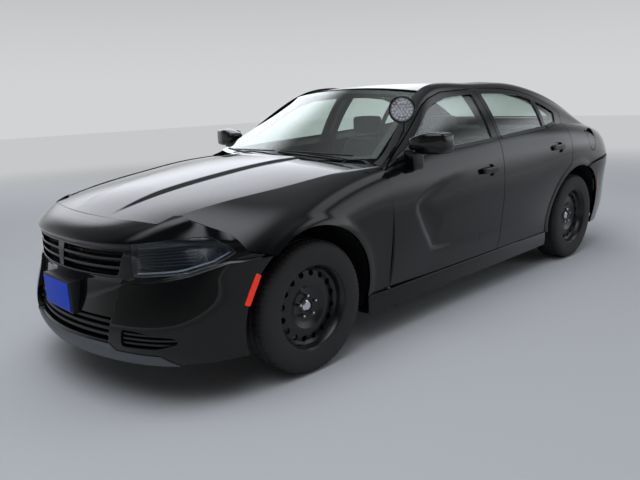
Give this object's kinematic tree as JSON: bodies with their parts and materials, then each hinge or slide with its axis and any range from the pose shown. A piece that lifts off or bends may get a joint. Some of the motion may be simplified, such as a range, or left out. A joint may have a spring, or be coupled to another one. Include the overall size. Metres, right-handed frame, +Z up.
{
  "type": "police patrol car",
  "caption": "Four-door police patrol saloon with opening doors, bonnet and boot lid, steered front wheels on vented steel discs and a pillar-mounted spotlight.",
  "frame": {"origin": "on the ground under the middle of the car's box", "axes": "+X forward along the car, +Y to the car's left, +Z up"},
  "size_m": [5.0394, 2.195, 1.5099],
  "materials": {
    "black_paint": "gloss",
    "tinted_glass": "clear",
    "lamp_lens": "clear",
    "red_lens": "gloss",
    "amber_lens": "gloss",
    "blue_plate": "satin",
    "black_plastic": "matte",
    "black_trim": "satin",
    "seat_cloth": "matte",
    "tyre_rubber": "matte",
    "wheel_steel": "satin",
    "cast_iron": "rough",
    "underbody": "matte",
    "exhaust_steel": "satin",
    "bright_metal": "polished"
  },
  "bodies": {
    "body": {"body_side_left": "black_paint", "body_side_right": "black_paint", "roof": "black_paint", "front_wing_left": "black_paint", "front_wing_right": "black_paint", "front_bumper": "black_paint", "rear_bumper": "black_paint", "windshield": "tinted_glass", "rear_window": "tinted_glass", "headlamps": "lamp_lens", "tail_lamps": "red_lens", "rear_markers": "red_lens", "front_markers": "amber_lens", "front_plate": "blue_plate", "grille": "black_plastic", "lower_grille": "black_plastic", "cowl": "black_plastic", "wheel_liners": "black_plastic", "dashboard": "black_plastic", "steering_wheel": "black_plastic", "front_seats": "seat_cloth", "rear_bench": "seat_cloth", "rear_axle": "cast_iron", "front_frame": "cast_iron", "engine": "cast_iron", "floor": "underbody", "exhaust": "exhaust_steel", "spotlight_stem": "bright_metal"},
    "bonnet_body": {"bonnet": "black_paint"},
    "boot_lid_body": {"boot_lid": "black_paint", "lid_lamp": "red_lens"},
    "front_door_left_body": {"front_door_left": "black_paint", "front_door_glass_left": "tinted_glass", "mirror_left": "black_paint"},
    "rear_door_left_body": {"rear_door_left": "black_paint", "rear_door_glass_left": "tinted_glass"},
    "front_knuckle_left_body": {"front_knuckle_left": "cast_iron"},
    "front_wheel_left_body": {"front_wheel_left": "wheel_steel", "front_tyre_left": "tyre_rubber"},
    "rear_wheel_left_body": {"rear_wheel_left": "wheel_steel", "rear_tyre_left": "tyre_rubber"},
    "front_door_right_body": {"front_door_right": "black_paint", "front_door_glass_right": "tinted_glass", "mirror_right": "black_paint"},
    "rear_door_right_body": {"rear_door_right": "black_paint", "rear_door_glass_right": "tinted_glass"},
    "front_knuckle_right_body": {"front_knuckle_right": "cast_iron"},
    "front_wheel_right_body": {"front_wheel_right": "wheel_steel", "front_tyre_right": "tyre_rubber"},
    "rear_wheel_right_body": {"rear_wheel_right": "wheel_steel", "rear_tyre_right": "tyre_rubber"},
    "fuel_flap_body": {"fuel_flap": "black_paint"},
    "spotlight_body": {"spotlight": "black_trim"}
  },
  "joints": [
    {"name": "front_door_left_hinge", "type": "hinge", "parent": "body", "child": "front_door_left_body", "pos_m": [0.918, 0.9315, 0.7], "axis": [0, 0, -1], "range_deg": [0, 65]},
    {"name": "rear_door_left_hinge", "type": "hinge", "parent": "body", "child": "rear_door_left_body", "pos_m": [-0.293, 0.936, 0.7], "axis": [0, 0, -1], "range_deg": [0, 65]},
    {"name": "steer_left", "type": "hinge", "parent": "body", "child": "front_knuckle_left_body", "pos_m": [1.555, 0.735, 0.358], "axis": [0, 0, 1], "range_deg": [-33, 33]},
    {"name": "front_wheel_left_spin", "type": "hinge", "parent": "front_knuckle_left_body", "child": "front_wheel_left_body", "pos_m": [1.555, 0.806, 0.358], "axis": [0, 1, 0], "continuous": true},
    {"name": "rear_wheel_left_spin", "type": "hinge", "parent": "body", "child": "rear_wheel_left_body", "pos_m": [-1.498, 0.81, 0.358], "axis": [0, 1, 0], "continuous": true},
    {"name": "front_door_right_hinge", "type": "hinge", "parent": "body", "child": "front_door_right_body", "pos_m": [0.918, -0.9315, 0.7], "axis": [0, 0, 1], "range_deg": [0, 65]},
    {"name": "rear_door_right_hinge", "type": "hinge", "parent": "body", "child": "rear_door_right_body", "pos_m": [-0.293, -0.936, 0.7], "axis": [0, 0, 1], "range_deg": [0, 65]},
    {"name": "steer_right", "type": "hinge", "parent": "body", "child": "front_knuckle_right_body", "pos_m": [1.555, -0.735, 0.358], "axis": [0, 0, 1], "range_deg": [-33, 33]},
    {"name": "front_wheel_right_spin", "type": "hinge", "parent": "front_knuckle_right_body", "child": "front_wheel_right_body", "pos_m": [1.555, -0.806, 0.358], "axis": [0, 1, 0], "continuous": true},
    {"name": "rear_wheel_right_spin", "type": "hinge", "parent": "body", "child": "rear_wheel_right_body", "pos_m": [-1.498, -0.81, 0.358], "axis": [0, 1, 0], "continuous": true},
    {"name": "bonnet_hinge", "type": "hinge", "parent": "body", "child": "bonnet_body", "pos_m": [0.952, 0, 1.032], "axis": [0, -1, 0], "range_deg": [0, 50]},
    {"name": "boot_lid_hinge", "type": "hinge", "parent": "body", "child": "boot_lid_body", "pos_m": [-1.962, 0, 1.172], "axis": [0, 1, 0], "range_deg": [0, 75]},
    {"name": "fuel_flap_hinge", "type": "hinge", "parent": "body", "child": "fuel_flap_body", "pos_m": [-1.687, 0.932, 0.985], "axis": [0, 0, -1], "range_deg": [0, 85]},
    {"name": "spotlight_turn", "type": "hinge", "parent": "body", "child": "spotlight_body", "pos_m": [0.69, 0.815, 1.34], "axis": [0, 0, 1], "range_deg": [-90, 90]}
  ],
  "couplings": [
    {"joint": "steer_right", "follows": "steer_left", "ratio": 1}
  ]
}
